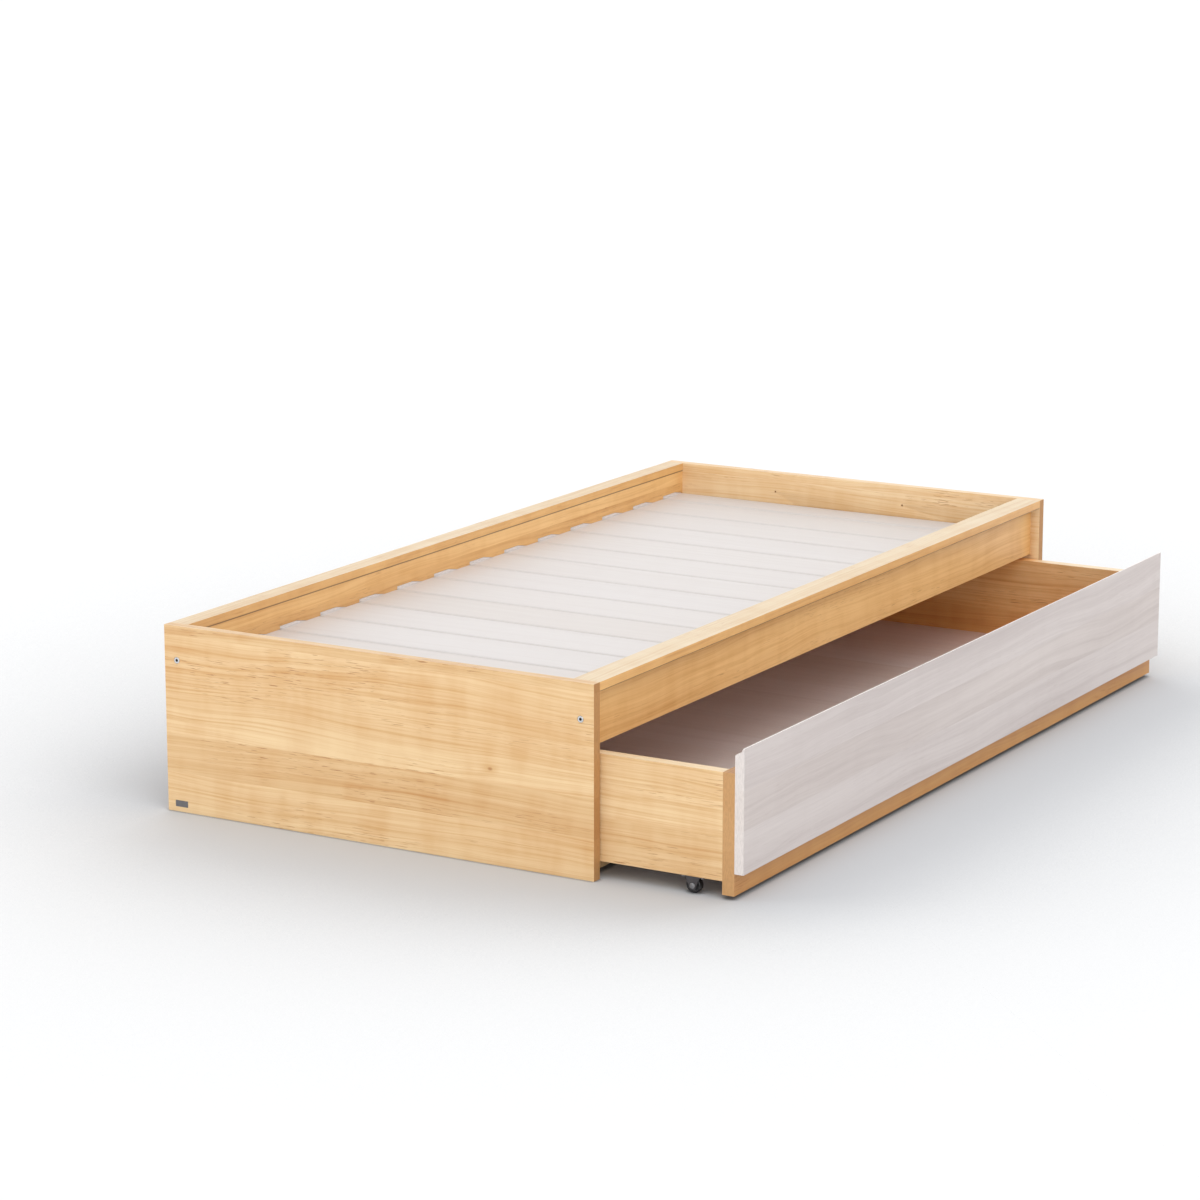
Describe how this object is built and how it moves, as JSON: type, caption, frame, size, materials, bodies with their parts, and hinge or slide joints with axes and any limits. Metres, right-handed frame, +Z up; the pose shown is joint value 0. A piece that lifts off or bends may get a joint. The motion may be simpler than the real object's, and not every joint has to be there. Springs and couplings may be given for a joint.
{
  "type": "trundle bed",
  "caption": "Low daybed with solid end panels, a slatted mattress well and a roll-out trundle drawer under it, on small fixed casters.",
  "frame": {"origin": "on the floor, at the middle of the footprint with the drawer part-way out", "axes": "+X along the bed towards the right end panel, -Y out of the front where the drawer leaves, +Z up"},
  "size_m": [2.06, 1.286, 0.38],
  "materials": {
    "alder": "oiled, satin",
    "alder_cap": "oiled, satin",
    "white_glazed_pine": "white-glazed, matt",
    "white_glazed_slat": "white-glazed, matt",
    "beech_dowel": "bare",
    "zinc_steel": "zinc-plated, satin",
    "black_steel": "black, satin",
    "black_plastic": "hard plastic, matt"
  },
  "bodies": {
    "bed": {"end_panel_left": "alder", "end_panel_right": "alder", "front_rail": "alder", "back_rail": "alder", "front_cap": "alder_cap", "back_cap": "alder_cap", "slat_batten_front": "alder", "slat_batten_back": "alder", "panel_bolts": "zinc_steel", "threaded_inserts": "zinc_steel", "rail_dowels": "beech_dowel", "cap_dowels": "beech_dowel", "batten_screws": "zinc_steel", "blank_plate": "zinc_steel", "slat_wedges": "white_glazed_slat", "slat_01": "white_glazed_slat", "slat_02": "white_glazed_slat", "slat_03": "white_glazed_slat", "slat_04": "white_glazed_slat", "slat_05": "white_glazed_slat", "slat_06": "white_glazed_slat", "slat_07": "white_glazed_slat", "slat_08": "white_glazed_slat", "slat_09": "white_glazed_slat", "slat_10": "white_glazed_slat", "slat_11": "white_glazed_slat", "slat_12": "white_glazed_slat", "slat_13": "white_glazed_slat", "slat_14": "white_glazed_slat"},
    "drawer": {"drawer_side_left": "alder", "drawer_side_right": "alder", "drawer_front_board": "alder", "drawer_back_board": "alder", "drawer_front_panel": "white_glazed_pine", "drawer_floor": "white_glazed_pine", "cross_rail_front": "alder", "cross_rail_back": "alder", "floor_cleat_left": "alder", "floor_cleat_right": "alder", "corner_dowels": "beech_dowel", "cross_rail_dowels": "beech_dowel", "front_panel_screws": "zinc_steel", "cleat_screws": "zinc_steel", "caster_screws": "zinc_steel", "caster_fork_front_left": "black_steel", "caster_fork_front_right": "black_steel", "caster_fork_back_left": "black_steel", "caster_fork_back_right": "black_steel", "caster_axle_front_left": "zinc_steel", "caster_axle_front_right": "zinc_steel", "caster_axle_back_left": "zinc_steel", "caster_axle_back_right": "zinc_steel"},
    "wheel_front_left": {"caster_wheel_front_left": "black_plastic"},
    "wheel_front_right": {"caster_wheel_front_right": "black_plastic"},
    "wheel_back_left": {"caster_wheel_back_left": "black_plastic"},
    "wheel_back_right": {"caster_wheel_back_right": "black_plastic"}
  },
  "joints": [
    {"name": "drawer_slide", "type": "slide", "parent": "bed", "child": "drawer", "axis": [0, -1, 0], "range_m": [-0.304, 0.676]},
    {"name": "wheel_spin_front_left", "type": "hinge", "parent": "drawer", "child": "wheel_front_left", "pos_m": [-0.9915, -0.535, 0.015], "axis": [1, 0, 0], "continuous": true},
    {"name": "wheel_spin_front_right", "type": "hinge", "parent": "drawer", "child": "wheel_front_right", "pos_m": [0.9915, -0.535, 0.015], "axis": [1, 0, 0], "continuous": true},
    {"name": "wheel_spin_back_left", "type": "hinge", "parent": "drawer", "child": "wheel_back_left", "pos_m": [-0.9915, 0.237, 0.015], "axis": [1, 0, 0], "continuous": true},
    {"name": "wheel_spin_back_right", "type": "hinge", "parent": "drawer", "child": "wheel_back_right", "pos_m": [0.9915, 0.237, 0.015], "axis": [1, 0, 0], "continuous": true}
  ],
  "couplings": [
    {"joint": "wheel_spin_front_left", "follows": "drawer_slide", "rad_per_m": 66.667},
    {"joint": "wheel_spin_front_right", "follows": "drawer_slide", "rad_per_m": 66.667},
    {"joint": "wheel_spin_back_left", "follows": "drawer_slide", "rad_per_m": 66.667},
    {"joint": "wheel_spin_back_right", "follows": "drawer_slide", "rad_per_m": 66.667}
  ]
}
